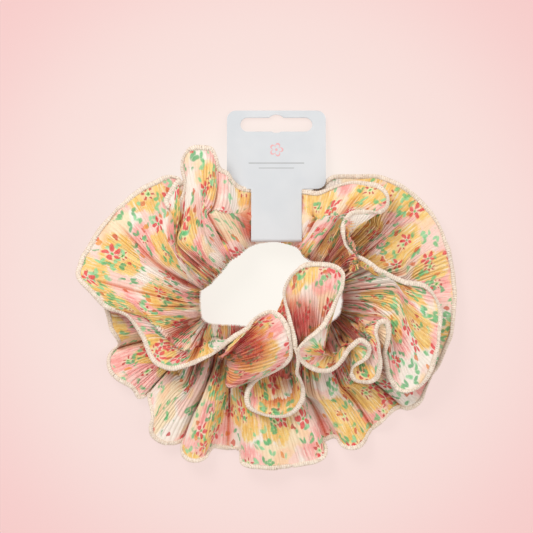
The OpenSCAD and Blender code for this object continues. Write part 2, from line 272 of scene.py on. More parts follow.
def arc(p):
    """Running length along the first axis of a closed line of points, and its whole length."""
    d = np.linalg.norm(np.roll(p, -1, 0) - p, axis=1)
    return np.concatenate([[0], np.cumsum(d)[:-1]]), d.sum()


# ------------------------------------------------------------------ the ring
ring_k = np.array([r[2] for r in RING])
ring_xy = np.array([r[:2] for r in RING], float)


def squeeze(t):
    """1 inside the card's neck, 0 away from it, by place on the ring."""
    d = np.where(t > 14, t - 28.5, t + 0.5)
    left = smooth((d - 0.9) / 1.9)
    right = smooth((-d - 0.85) / 1.7)
    return 1 - np.where(d > 0, left, right)


def ring_at(t):
    """Centre line, outward direction and height of the casing at places t."""
    c = spline(ring_xy, ring_k, t)
    e = 0.02
    span = ring_k[-1] - ring_k[0]
    wrap = lambda q: (q - ring_k[0]) % span + ring_k[0]
    d = unit(spline(ring_xy, ring_k, wrap(t + e)) - spline(ring_xy, ring_k, wrap(t - e)))
    out = np.stack([d[:, 1], -d[:, 0]], -1)          # right of the way of travel is away from the hole
    s = squeeze(t)
    z = 13.5 * (1 - s) + 5.8 * s
    fat = np.interp(t, [-0.5, 1, 2.2, 3.6, 5, 6.2, 7.5, 12, 22, 25, 26.6, 27.4, 28.5],
                    [1, 1, 1.15, 1.28, 1.15, 0.86, 0.95, 1, 1, 1.0, 1.42, 1.25, 1])
    r = 5.0 * fat * (1 - s) + 4.3 * s
    return c, out, z, r


def edge_line(table, n):
    """n points spaced evenly along an edge: points, place on the ring and running length."""
    tab = np.array(table, float)
    seg = np.linalg.norm(np.diff(tab[:, :3], axis=0), axis=1)
    k = np.concatenate([[0], np.cumsum(np.maximum(seg, 0.4))])
    fine = np.linspace(0, k[-1], 6000, endpoint=False)
    pts = spline(tab[:, :3], k, fine)
    pts = blur(pts, 9)
    t = np.interp(fine, k, tab[:, 3])
    t = blur(t[:, None], 1)[:, 0]
    s, total = arc(pts)
    want = np.arange(n) / n * total
    s2 = np.append(s, total)
    res = np.stack([np.interp(want, s2, np.append(pts[:, i], pts[0, i])) for i in range(3)], -1)
    tt = np.interp(want, s2, np.append(t, ring_k[-1]))
    return res, tt, want, total


# ------------------------------------------------------------------ the free plies
PLY_FRONT = 55.0      # front ply from the inside of the casing over its top to the edge
ARC_ROWS = 7

# leaving angle of each ply at its seam, (place on the ring, degrees above the surface)
FRONT_LIFT = [(-0.5, 0), (1, 8), (2, 16), (3.8, 20), (4.6, 6), (5.2, 4), (6, 10), (8, 10), (9.5, 22), (10.15, 55), (11.35, 75), (11.65, 68),
              (11.89, 5), (12.35, -14), (13.1, -14), (13.5, -20), (14.1, -26), (15.2, -25), (15.6, 6), (16.0, 62), (16.3, 70),
              (16.7, 62), (17.1, 60), (17.4, 60), (17.7, 45), (17.95, 5), (18.2, 2), (18.5, 24), (18.8, 34), (19.0, 28),
              (19.3, 10), (19.6, 20), (19.9, 45), (20.1, 40), (20.4, 12), (21, 6), (22.3, 12), (23.2, 35),
              (24.0, 55), (24.6, 35), (25.5, 20), (27, 8), (28.5, 0)]
# turn of the leaving direction, degrees anticlockwise seen from above
FRONT_TURN = [(-0.5, 0), (11.6, 0), (11.8, -24), (12.08, -44), (12.5, -46), (12.9, -36), (13.3, -20), (13.6, -10), (14.1, 0), (15.7, 0),
              (15.98, 0), (16.08, -60), (16.2, -95), (16.38, -20), (16.6, 0), (17.2, 0), (28.5, 0)]
# way the ply comes into its edge where it curls back: (place, weight, x, y, z)
FRONT_COME = [(-0.5, 0, 0, 0, 1), (11.65, 0, 0.7, 0.7, 0.4), (11.85, 0.85, 0.8, 0.6, 0.3), (12.35, 1, 0.85, 0.5, 0.25),
              (12.8, 1, 0.86, 0.46, 0.2), (13.15, 0.95, 0.80, 0.50, 0.2), (13.4, 0.8, 0.85, 0.3, 0.2), (13.7, 0.4, 0.7, -0.5, 0.2), (14.1, 0.4, 0.1, -0.8, 0.5),
              (14.6, 0.7, 0, -0.78, 0.62), (15.3, 0.65, 0, -0.78, 0.62), (15.6, 0.2, 0.3, -0.7, 0.5), (15.7, 0, 0.3, -0.7, 0.4),
              (15.9, 0, 0.6, 0.3, 0.5), (15.98, 0.1, 0.7, 0.5, 0.4), (16.08, 0.6, 0.85, 0.5, 0.3), (16.18, 0.9, 0.9, 0.42, 0.25), (16.32, 0, 0.5, 0.8, 0.3), (17.8, 0, 0.1, -0.8, 0.5),
              (18.0, 0.5, 0.1, -0.78, 0.6), (18.35, 0.5, 0.25, -0.75, 0.6), (18.5, 0, 0.3, -0.7, 0.5), (19.1, 0, 0.5, -0.6, 0.5),
              (19.3, 0.4, 0.45, -0.65, 0.6), (19.6, 0.3, 0.6, -0.5, 0.6), (19.7, 0, 0.7, -0.5, 0.5),
              (28.5, 0, 0, 0, 1)]
# how much cloth lies between the casing's top and the edge: (place, times the straight distance, plus mm)
FRONT_SPARE = [(-0.5, 1.3, 9), (4.3, 1.24, 8), (4.6, 1.04, 1), (5.15, 1.04, 1), (5.45, 1.13, 5), (6.2, 1.18, 7),
               (9.6, 1.15, 5), (10.1, 1.05, 1), (11.6, 1.05, 1), (11.85, 1.7, 16), (12.2, 2.2, 24), (13.0, 2.1, 22), (13.3, 1.8, 13),
               (13.6, 1.3, 5), (13.9, 1.12, 3), (14.3, 1.1, 2), (15.6, 1.1, 2),
               (15.7, 1.08, 1), (15.98, 1.06, 1), (16.1, 1.2, 3), (16.3, 1.2, 4), (17.5, 1.2, 5), (18.2, 1.15, 3), (18.45, 1.05, 1), (19.0, 1.06, 1),
               (19.3, 1.2, 4), (20.3, 1.2, 4), (20.8, 1.11, 4), (22.8, 1.11, 4), (23.5, 1.28, 9), (28.5, 1.3, 9)]
REAR_LIFT = [(-0.5, 0), (2, -15), (4, -24), (24, -24), (26.5, -15), (28.5, 0)]


def table_at(table, t, col=1):
    return np.interp(t, [q[0] for q in table], [q[col] for q in table])


def even_rows(g, rows):
    """The same ribs with their points spaced evenly."""
    n = g.shape[0]
    seg = np.linalg.norm(np.diff(g, axis=1), axis=2)
    cum = np.concatenate([np.zeros((n, 1)), np.cumsum(seg, 1)], 1)
    cum /= cum[:, -1:]
    v = np.linspace(0, 1, rows)
    res = np.empty((n, rows, 3))
    for i in range(n):
        for c3 in range(3):
            res[i, :, c3] = np.interp(v, cum[i], g[i, :, c3])
    return res


def ply_grid(table, n, rows, front):
    """Middle surface of a free ply: points (n, rows, 3), from the casing to the edge."""
    edge, t, s, total = edge_line(table, n)
    c, out, z, r = ring_at(t)
    sq = squeeze(t)
    up = np.array([0.0, 0.0, 1.0])
    out3 = np.concatenate([out, np.zeros((n, 1))], 1)
    middle = np.concatenate([c, z[:, None]], 1)
    if front:                       # starts on the inside of the casing and goes over its top
        angles = np.radians(np.linspace(176, 84, ARC_ROWS))
        rr = (r + 0.70)[:, None]
        wrap = [middle + (out3 * math.cos(q) + up * math.sin(q)) * rr for q in angles]
        root = wrap[-1]
        lift = np.radians(table_at(FRONT_LIFT, t) + 6) * (1 - sq)
        turn = np.radians(table_at(FRONT_TURN, t))
        left = np.cross(up, out3)
        go = out3 * np.cos(turn)[:, None] + left * np.sin(turn)[:, None]
    else:
        wrap = []
        root = middle + out3 * (r * 0.92)[:, None] - up * (1.1 * (1 - 0.4 * sq))[:, None]
        low = 9 * smooth((edge[:, 2] - 2.0) / 5.0)
        lift = np.radians(table_at(REAR_LIFT, t) + low) * (1 - sq)
        go = out3
    d0 = go * np.cos(lift)[:, None] + up * np.sin(lift)[:, None]
    aim = root + up * ((6.0 if front else -6.0) * (1 - sq))[:, None] + out3 * 4.0
    d1 = unit(edge - aim)
    d1 = unit(d1 * 0.35 + unit(d1 * np.array([1, 1, 0.25])) * 0.65)
    if front:
        w = table_at(FRONT_COME, t, 1)[:, None]
        come = unit(np.stack([table_at(FRONT_COME, t, k) for k in (2, 3, 4)], -1))
        d1 = unit(d1 * (1 - w) + come * w)
    d0, d1 = unit(blur(d0, max(3, n // 150))), unit(blur(d1, max(3, n // 150)))
    chord = np.linalg.norm(edge - root, axis=1)
    free = (PLY_FRONT - 8.0) if front else PLY_W
    spare = free if not front else np.minimum(free, table_at(FRONT_SPARE, t) * chord + table_at(FRONT_SPARE, t, 2))
    want = spare * (1 - sq) + np.minimum(spare, chord * 1.02) * sq
    want = blur(want[:, None], max(3, n // 100))[:, 0]
    v = np.linspace(0, 1, rows)

    def bez(k):
        a = (k * free)[:, None]
        p1 = root + d0 * a
        p2 = edge - d1 * a
        vv = v[None, :, None]
        return ((1 - vv) ** 3 * root[:, None] + 3 * (1 - vv) ** 2 * vv * p1[:, None]
                + 3 * (1 - vv) * vv ** 2 * p2[:, None] + vv ** 3 * edge[:, None])

    lo, hi = np.full(n, 0.10), np.full(n, 0.75)
    for _ in range(14):
        mid = (lo + hi) / 2
        g = bez(mid)
        length = np.linalg.norm(np.diff(g, axis=1), axis=2).sum(1)
        short = length < want
        lo = np.where(short, mid, lo)
        hi = np.where(short, hi, mid)
    k = blur(((lo + hi) / 2)[:, None], max(3, n // 120))[:, 0]
    g = bez(k)
    g = even_rows(g, rows)
    # ease the ribs into one another between the seam and the edge
    hold = np.sin(math.pi * np.clip(v * 1.02, 0, 1)) ** 0.6
    for width in (n // 110, n // 160):
        soft = blur(g.reshape(n, -1), max(3, width)).reshape(g.shape)
        g = g + (soft - g) * (hold * 0.9)[None, :, None]
    if front:
        head = even_rows(np.stack(wrap, 1), ARC_ROWS)
        g = np.concatenate([head[:, :-1], even_rows(g, rows - ARC_ROWS + 1)], 1)
    return g, t, s, total


def gathers(u, seed):
    """How far the gathered cloth stands in or out, -1..1, by share of the way round."""
    return (0.50 * noise1(u * 236, seed + 40, 236) + 0.45 * noise1(u * 121, seed + 41, 121)
            + 0.30 * noise1(u * 61, seed + 42, 61))


# places where the flutes turn into shade
FRONT_DEEP = [(-0.5, 0), (9.9, 0), (11.7, 0), (11.9, 1.2), (13.3, 1.1), (13.93, 0.7), (14.6, 0.9), (15.4, 0.9), (15.8, 0.3),
              (16.2, 0.8), (16.9, 0.85), (17.4, 0.85), (17.7, 0.5), (18.5, 0.55), (18.9, 0.4), (19.4, 0.6), (19.8, 0.3), (20.3, 0), (23.3, 0),
              (24, 0.4), (25, 0.5), (25.6, 0.2), (26.5, 0), (28.5, 0)]
# the deepest spots of the open flutes, where the painted shade is strongest: (from place, to place, x, y, reach,
# amount)
FRONT_SHADE_SPOTS = [(11.75, 13.3, -9.5, -25.5, 10.0, 1.0), (13.7, 15.6, 3.5, -43.5, 8.0, 1.0), (16.0, 17.35, 13.0, -14.0, 9.5, 1.0)]
FRONT_FOLDS = [(2.45, 2.6, 1.6), (27.25, 2.2, 1.6), (4.75, 1.4, 1.6), (6.1, 1.0, 2.0), (7.3, 0.9, 2.0), (26.0, 1.2, 2.0)]


def pleated(grid, t, s, total, seed, front):
    """Adds the fine pleats, the gathers and the folds to a ply: (points, valley depth 0..1 that sets the painted shade,
    normals).
    """
    n, rows = grid.shape[:2]
    seg = np.linalg.norm(np.diff(grid, axis=1), axis=2)
    far = np.concatenate([np.zeros((n, 1)), np.cumsum(seg, 1)], 1)
    back = far[:, -1:] - far                     # millimetres from the edge
    v = np.linspace(0, 1, rows)[None, :]
    u = (s / total)
    sq = squeeze(t)[:, None]
    pleats = int(total / 1.95)
    warp = u * pleats + 0.55 * noise1(u * (pleats // 3), seed, pleats // 3) + 0.3 * noise1(u * 301, seed + 1, 301)
    ridge = np.abs(np.cos(math.pi * warp)) ** 0.75        # round tops, sharp valleys
    tall = (0.80 + 0.30 * noise1(u * pleats, seed + 2, pleats))
    wave = (ridge * 2 - 1)[:, None]
    # each pleat holds the same length of cloth all the way in, so it stands deeper where it is gathered closer
    apart = np.linalg.norm(np.roll(grid, -2, 0) - np.roll(grid, 2, 0), axis=2) / 4 * n / pleats
    tuck = 0.31 * np.sqrt(np.maximum((total / pleats) ** 2 - apart ** 2, 0))
    fine = wave * np.maximum(tall[:, None] * (0.33 - 0.10 * smooth((v - 0.4) / 0.5)), blur(tuck, 7)) * (1 - 0.35 * smooth((v - 0.93) / 0.07))
    g0 = gathers(u, SEED)[:, None] if front else gathers(u + 0.37, seed)[:, None]
    b2 = noise1(u * 68, seed + 4, 68)[:, None]
    b3 = noise1(u * 33, seed + 5, 33)[:, None]
    reach = 36.0 if front else 34.0
    fade = 1 - smooth((far - (10.0 if front else 1.0)) / reach)
    grow = smooth(far / 9.0)
    gather = g0 * fade * (0.28 + 1.4 * grow) + 0.9 * b2 * fade * grow + 0.7 * b3 * np.sin(math.pi * np.clip(v, 0, 1)) ** 1.5
    d = (fine + gather * (1 - 0.6 * sq)) * (1 - 0.5 * sq)
    nrm = grid_normals(grid)
    p = grid + nrm * d[:, :, None]
    line = smooth((0.62 - ridge) / 0.62)[:, None]
    painted_shade = np.zeros_like(far)
    # valley: how much painted shade the cloth gets along each pleat's valley and where the gathers stand in
    valley = line * tall[:, None] * (0.46 - 0.24 * smooth((v - 0.3) / 0.55))
    valley = valley + np.clip(-(g0 * 1.1 + 0.6 * b2 * grow), 0, 1) * fade * 0.9
    if front:
        # painted shade inside the flutes, stronger away from the edge
        painted_shade = table_at(FRONT_DEEP, t)[:, None] * (0.75 + 0.25 * b2)
        painted_shade = np.clip(painted_shade * smooth((back - 3) / 19), 0, 1)
        for first, last, x, y, wide, much in FRONT_SHADE_SPOTS:
            here = ((t > first) & (t < last))[:, None] * (grid[:, :, 2] > 7.0)
            away = (grid[:, :, 0] - x) ** 2 + (grid[:, :, 1] - y) ** 2
            painted_shade = np.maximum(painted_shade * (1 - 0.5 * here), here * much * np.exp(-away / wide ** 2))
        # the flutes' painted shade also adds to the valley shade
        valley = valley + 0.45 * painted_shade
        for place, depth, width in FRONT_FOLDS:
            k = int(np.argmin(np.abs(t - place)))
            ds = s - s[k]
            cut = np.exp(-np.abs(ds) / width)[:, None] * smooth((far - 3) / 10) * smooth(back / 14)
            p = p - nrm * np.sign(nrm[:, :, 2:3]) * (cut * depth)[:, :, None]
            # painted shade along the fold
            valley = valley + 0.8 * cut
    else:
        z = blur(grid[:, -1, 2:3], n // 260)[:, 0]
        near = np.full(n, 1e9)
        span = int(n * 9 / total)
        for i in range(n):
            around = np.take(z, np.arange(i - span, i + span + 1), mode="wrap")
            if z[i] <= around.min() + 1e-9 and z[i] < 3.2:
                dd = np.abs(s - s[i])
                near = np.minimum(near, np.minimum(dd, total - dd))
        bulge = (1 - np.exp(-near / 3.2))[:, None]
        prof = smooth((far - 4) / 16) * (1 - 0.55 * smooth((v - 0.7) / 0.3))
        p = p + np.array([0, 0, 1.0]) * ((bulge - 0.45) * 5.0 * prof * (1 - sq))[:, :, None]
        # painted shade along the creases of the rear ply, where its edge dips lowest
        valley = valley + 0.95 * np.exp(-near / 1.5)[:, None] * smooth((far - 4) / 12)
        p[:, :, 2] = np.maximum(p[:, :, 2], 0.75 + 0.25 * np.tanh(p[:, :, 2] - 0.75))
    return p, np.clip(valley, 0, 1), nrm, back, painted_shade


# ------------------------------------------------------------------ threads
def cord_along(name, p, nrm, wide, thick, sides=10, wraps=None, closed=True, lean=None):
    """A flattened cord along a closed line of points; nrm is the way its thin side faces."""
    n = len(p)
    tan = unit(np.roll(p, -1, 0) - np.roll(p, 1, 0)) if closed else unit(np.gradient(p, axis=0))
    nrm = unit(nrm - tan * (nrm * tan).sum(1, keepdims=True))
    side = np.cross(tan, nrm)
    ang = np.linspace(0, 2 * math.pi, sides, endpoint=False)
    s, total = arc(p)
    k = np.ones((n, sides))
    wrap = np.zeros((n, sides))
    if wraps:
        count = max(8, int(total / wraps))
        ph = 2 * math.pi * (count * s / total)[:, None] + (0.9 * np.sin(ang))[None, :]
        wrap = 0.5 + 0.5 * np.cos(ph)
        k = 0.86 + 0.16 * wrap
    g = (p[:, None] + side[:, None] * (np.cos(ang)[None, :, None] * wide / 2 * k[:, :, None])
         + nrm[:, None] * (np.sin(ang)[None, :, None] * thick / 2 * k[:, :, None]))
    g = g[:, ::-1]
    uv = np.stack([np.repeat(s[:, None], sides, 1), np.repeat(ang[None, :], n, 0)], -1)
    return grid_mesh(name, g, closed_u=closed, closed_v=True, uv=uv, attrs={"wrap": wrap})


def stitches(name, p, nrm, pitch, length, thick, sides=6, closed=True):
    """A row of short rounded thread stitches along a line, as one mesh."""
    s, total = arc(p)
    if not closed:
        total = s[-1]
    count = int(total / pitch)
    at = (np.arange(count) + 0.5) / count * total
    q = np.stack([np.interp(at, s, p[:, i]) for i in range(3)], -1)
    q2 = np.stack([np.interp(np.minimum(at + 0.3, total), s, p[:, i]) for i in range(3)], -1)
    m = unit(np.stack([np.interp(at, s, nrm[:, i]) for i in range(3)], -1))
    tan = unit(q2 - q)
    m = unit(m - tan * (m * tan).sum(1, keepdims=True))
    side = np.cross(tan, m)
    verts, faces = [], []
    rings = [(-0.5, 0.25), (-0.42, 0.8), (-0.2, 1.0), (0.2, 1.0), (0.42, 0.8), (0.5, 0.25)]
    for i in range(count):
        base = len(verts)
        for f, rad in rings:
            bow = (0.25 - f * f) * thick * 1.2
            for j in range(sides):
                a = 2 * math.pi * j / sides
                verts.append(q[i] + tan[i] * f * length + m[i] * (bow + math.sin(a) * thick / 2 * rad) + side[i] * math.cos(a) * thick / 2 * rad)
        for a in range(len(rings) - 1):
            for j in range(sides):
                k = (j + 1) % sides
                faces.append((base + a * sides + j, base + a * sides + k, base + (a + 1) * sides + k, base + (a + 1) * sides + j))
        faces.append(tuple(base + j for j in reversed(range(sides))))
        faces.append(tuple(base + (len(rings) - 1) * sides + j for j in range(sides)))
    me = bpy.data.meshes.new(name)
    me.from_pydata([tuple(v * MM) for v in np.array(verts)], [], faces)
    me.update()
    for poly in me.polygons:
        poly.use_smooth = True
    ob = bpy.data.objects.new(name, me)
    bpy.context.scene.collection.objects.link(ob)
    return ob


# ------------------------------------------------------------------ build the cloth
NF, RF = ((2700, 35))
NR, RR = ((2050, 45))

front0, ft, fs, f_total = ply_grid(FRONT_EDGE, NF, RF, True)
rear0, rt, rs, r_total = ply_grid(REAR_EDGE, NR, RR, False)
front_p, front_valley, front_n, front_back, front_painted_shade = pleated(front0, ft, fs, f_total, SEED, True)
rear_p, rear_valley, rear_n, rear_back, rear_painted_shade = pleated(rear0, rt, rs, r_total, SEED + 20, False)


def cloth_uv(s, across, scale=1.0, start=0.0):
    """Cloth coordinates in centimetres: along the strip, and in from the edge."""
    return np.stack([np.repeat((s * 0.1 * scale)[:, None], across.shape[1], 1), start + across * 0.1], -1)


def seam_share(back):
    far = back[:, :1] - back
    return 1 - smooth((far - 6.0) / 26.0)


front_ob = grid_mesh("front_frill", front_p, uv=cloth_uv(fs, front_back),
                     attrs={"valley": front_valley, "painted_shade": front_painted_shade, "near_seam": seam_share(front_back)})
rear_ob = grid_mesh("rear_frill", rear_p, uv=cloth_uv(rs, rear_back, 1.15, 20.0),
                    attrs={"valley": rear_valley, "painted_shade": rear_painted_shade, "near_seam": seam_share(rear_back)})

# The gathered casing: a tube round the elastic, closed by the channel seam on its outside
NC, SIDES = ((2000, 32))
ct = np.linspace(ring_k[0], ring_k[-1], NC, endpoint=False)
cc, cout, cz, cr = ring_at(ct)
csq = squeeze(ct)
ang = np.linspace(-math.pi, math.pi, SIDES, endpoint=False)          # 0 is the outside, where the seam is
cu = np.interp(ct, np.append(ft, ring_k[-1]), np.append(fs, f_total)) / f_total
tw = noise1(cu * 47, SEED + 43, 47)
gr = np.stack([gathers(cu + q * 0.0016 * tw, SEED) for q in ang], 1)
rad = cr[:, None] + gr * (0.25 + 0.4 * smooth((np.cos(ang) + 0.4) / 1.2))[None, :] * (1 - 0.4 * csq[:, None])
out3 = np.concatenate([cout, np.zeros((NC, 1))], 1)
centre = np.concatenate([cc, cz[:, None]], 1)
cas = (centre[:, None] + out3[:, None] * (np.cos(ang)[None, :, None] * rad[:, :, None])
       + np.array([0, 0, 1.0]) * (np.sin(ang)[None, :, None] * rad[:, :, None]))
cas_uv = np.stack([np.repeat((cu * f_total * 0.1)[:, None], SIDES, 1),
                   np.repeat(((PLY_FRONT + 15 - ang / math.pi * 15) * 0.1)[None, :], NC, 0)], -1)
# in cloth coordinates the tube is an open strip, so it is laid as one
cas_open = np.concatenate([cas, cas[:, :1]], 1)
uv_open = np.concatenate([cas_uv, cas_uv[:, :1] + np.array([0, -3.0])], 1)
# painted shade where the casing's gathers stand in
cas_valley = np.clip(-gr * 1.3, 0, 1)
casing_ob = grid_mesh("casing", cas_open, uv=uv_open,
                      attrs={"valley": np.concatenate([cas_valley, cas_valley[:, :1]], 1),
                             "near_seam": np.ones((NC, SIDES + 1))})

# Overlocked edges
step = 1
fe, fn = front_p[:, -1], front_n[:, -1]
re_, rn = rear_p[:, -1], rear_n[:, -1]
M = 4200


def along(p, n, smoothing=7):
    p = blur(p, smoothing)
    s, total = arc(p)
    w = np.arange(n) / n * total
    s2 = np.append(s, total)
    return np.stack([np.interp(w, s2, np.append(p[:, i], p[0, i])) for i in range(3)], -1)


fe2, fn2 = along(fe, M, 5), unit(along(fn, M, 9))
re2, rn2 = along(re_, M, 5), unit(along(rn, M, 9))
front_edge = cord_along("front_edging", fe2, fn2, 2.5, 1.4, wraps=1.0)
rear_edge = cord_along("rear_edging", re2, rn2, 2.3, 1.25, wraps=1.0)

# Elastic band and its join
NE = 400
et = np.linspace(ring_k[0], ring_k[-1], NE, endpoint=False)
ec, eo, ez, er = ring_at(et)
e3 = np.concatenate([ec, ez[:, None]], 1)
eo3 = np.concatenate([eo, np.zeros((NE, 1))], 1)
cols = []
for side, hh in ((-0.6, -3), (-0.6, -1), (-0.6, 1), (-0.6, 3), (0.6, 3), (0.6, 1), (0.6, -1), (0.6, -3)):
    cols.append(e3 + eo3 * side + np.array([0, 0, 1.0]) * hh * (1 - 0.15 * squeeze(et))[:, None])
es, e_total = arc(e3)
elastic_ob = grid_mesh("elastic", np.stack(cols, 1), closed_v=True,
                       uv=np.stack([np.repeat((es * 0.1)[:, None], 8, 1), np.repeat(np.arange(8)[None, :] * 0.1, NE, 0)], -1))
jc, jo, jz, jr = ring_at(np.array([6.2, 7.8]))
zig = []
for q in range(2):
    for i in range(9):
        side = 1 if i % 2 else -1
        zig.append([jc[q][0] + jo[q][0] * 0.85, jc[q][1] + side * 0.9, jz[q] - 2.4 + 0.6 * i])
zig = np.array(zig)
zz = np.concatenate([np.linspace(zig[i], zig[i + 1], 6, endpoint=False) for i in range(len(zig) - 1) if i != 8])
join_ob = cord_along("elastic_join", zz, np.repeat([[jo[0][0], jo[0][1], 0.0]], len(zz), 0), 0.4, 0.4, sides=6, closed=False)

# Channel stitching, along the seam where the plies leave the casing
sc, so, sz, sr = ring_at(ct)
so3 = np.concatenate([so, np.zeros((NC, 1))], 1)
seam_line = np.concatenate([sc, sz[:, None]], 1) + so3 * (sr + 0.9)[:, None] + np.array([0, 0, 1.0]) * (1.9 * (1 - 0.4 * csq))[:, None]
channel_ob = stitches("channel_stitching", along(seam_line, 900, 3), np.repeat([[0, 0, 1.0]], 900, 0), 3.0, 2.3, 0.45)

# Closing seam: a gathered seam allowance between the plies, a little right of the card
k0 = int(np.argmin(np.abs(rt - 25.2)))
rib = rear_p[k0]
keep = slice(int(RR * 0.12), int(RR * 0.93))
rib = rib[keep] + np.array([0, 0, 1.0]) * 0.9
closing_ob = cord_along("closing_seam_allowance", np.stack([np.interp(np.linspace(0, 1, 160), np.linspace(0, 1, len(rib)), rib[:, i]) for i in range(3)], -1),
                        np.repeat([[0, 0, 1.0]], 160, 0), 3.6, 0.9, sides=10, wraps=0.9, closed=False)


# ------------------------------------------------------------------ the folded card
def card_mesh(name, crease_y, top_y, head_y, profile, front, thick=0.4):
    """A cut and creased card panel. profile maps flat length to (y, z); the outline is cut flat."""
    lo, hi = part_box("card_back_panel")
    cx = (lo.x + hi.x) / 2 / MM
    half_h, half_n, cr_ = (hi.x - lo.x) / 2 / MM, 11.2, 4.0
    out = []

    def corner(x, y, r, a0, a1, n=10):
        for i in range(n + 1):
            a = math.radians(a0 + (a1 - a0) * i / n)
            out.append((x + r * math.cos(a), y + r * math.sin(a)))

    s0, s_head, s_top = 0.0, head_y, top_y
    out.append((cx - half_n, s0)); out.append((cx + half_n, s0))
    corner(cx + half_n + 0.8, s_head - 0.8, 0.8, 180, 90, 4)
    corner(cx + half_h - cr_, s_head + cr_, cr_, -90, 0)
    corner(cx + half_h - cr_, s_top - cr_, cr_, 0, 90)
    corner(cx - half_h + cr_, s_top - cr_, cr_, 90, 180)
    corner(cx - half_h + cr_, s_head + cr_, cr_, 180, 270)
    corner(cx - half_n - 0.8, s_head - 0.8, 0.8, 90, 0, 4)
    sy = s_top - 6.4
    hole = []

    def arc_pts(x, y, r, a0, a1, n):
        for i in range(n + 1):
            a = math.radians(a0 + (a1 - a0) * i / n)
            hole.append((x + r * math.cos(a), y + r * math.sin(a)))
    arc_pts(cx - 12.8, sy, 3.2, 90, 270, 20)
    yb = 0.4
    a_in = math.degrees(math.acos((3.2 + yb) / 4.2)) if 3.2 + yb < 4.2 else 0
    arc_pts(cx, sy + yb, 4.2, 270 - a_in, 270 + a_in, 8)
    arc_pts(cx + 12.8, sy, 3.2, -90, 90, 20)
    a_up = math.degrees(math.acos((3.2 - yb) / 4.2))
    arc_pts(cx, sy + yb, 4.2, 90 - a_up, 90 + a_up, 16)
    bm = bmesh.new()
    for loop in (out, hole):
        vs = [bm.verts.new((x, y, 0)) for x, y in loop]
        for i in range(len(vs)):
            bm.edges.new((vs[i], vs[(i + 1) % len(vs)]))
    bmesh.ops.triangle_fill(bm, use_beauty=True, edges=bm.edges[:])
    for f in bm.faces:
        if f.normal.z < 0:
            f.normal_flip()
    cuts = [0.6 + 0.35 * i for i in range(10)] + list(np.arange(4.2, s_top, 2.0)) if front is False else \
        [0.5, 1.0] + list(np.arange(9.0, 16.2, 0.3)) + list(np.arange(17, s_top, 2.0))
    for y in cuts:
        bmesh.ops.bisect_plane(bm, geom=bm.verts[:] + bm.edges[:] + bm.faces[:], plane_co=(0, y, 0), plane_no=(0, 1, 0))
    for x in np.arange(cx - half_h + 4, cx + half_h, 4.0):
        bmesh.ops.bisect_plane(bm, geom=bm.verts[:] + bm.edges[:] + bm.faces[:], plane_co=(x, 0, 0), plane_no=(1, 0, 0))
    for v in bm.verts:
        x, s = v.co.x, v.co.y
        y, z = profile(s, (x - cx) / half_h)
        v.co = (x * MM, y * MM, z * MM)
    me = bpy.data.meshes.new(name)
    bm.to_mesh(me)
    bm.free()
    ob = bpy.data.objects.new(name, me)
    bpy.context.scene.collection.objects.link(ob)
    sol = ob.modifiers.new("thick", "SOLIDIFY")
    sol.thickness = thick * MM
    sol.offset = 0.0
    bev = ob.modifiers.new("soft", "BEVEL")
    bev.width = 0.06 * MM
    bev.segments = 2
    bev.limit_method = "ANGLE"
    bev.angle_limit = math.radians(50)
    dg = bpy.context.evaluated_depsgraph_get()
    new = bpy.data.meshes.new_from_object(ob.evaluated_get(dg))
    ob.modifiers.clear()
    ob.data = new
    for p in new.polygons:
        p.use_smooth = False
    return ob


TILT = math.atan((13 - 1.1) / (79 - 20.4))
SPINE = 12.35            # flat length of the wrap below the rounded upper crease
BEND_R = 1.0


def front_profile(s, x):
    """Up the wrap, round the upper crease, then along the front panel."""
    bend = math.pi / 2 - TILT + 0.0
    turn = math.pi / 2 + TILT
    arc_len = BEND_R * turn
    z_start = 0.55
    straight = SPINE - z_start - BEND_R * 1.1
    y0 = 20.6
    if s <= straight:
        y, z = y0, z_start + s
        return y, z
    if s <= straight + arc_len:
        a = (s - straight) / BEND_R
        y = y0 + BEND_R * (1 - math.cos(a))
        z = z_start + straight + BEND_R * math.sin(a)
        return y, z
    a = turn
    y = y0 + BEND_R * (1 - math.cos(a))
    z = z_start + straight + BEND_R * math.sin(a)
    q = s - straight - arc_len
    y += q * math.cos(TILT)
    z -= q * math.sin(TILT)
    z += 0.35 * math.sin(math.pi * min(1, q / 58)) * (1 - x * x) * 0.8
    return y, z


def back_profile(s, x):
    return 20.75 + s, 0.2


_front_flat = 12.35 - 0.55 - 1.1 + BEND_R * (math.pi / 2 + TILT) + (79 - 20.6 - BEND_R * (1 - math.cos(math.pi / 2 + TILT))) / math.cos(TILT)
_front_head = _front_flat - (79 - 44) / math.cos(TILT)
card_front = card_mesh("header_card_front", 20.4, _front_flat, _front_head, front_profile, True)
card_back = card_mesh("header_card_back", 20.4, 79 - 20.75, 44 - 20.75, back_profile, False)


# ------------------------------------------------------------------ materials
def lin(r, g, b):
    """sRGB 0-255 to linear."""
    out = []
    for c in (r, g, b):
        c /= 255
        out.append(c / 12.92 if c <= 0.04045 else ((c + 0.055) / 1.055) ** 2.4)
    return (*out, 1.0)


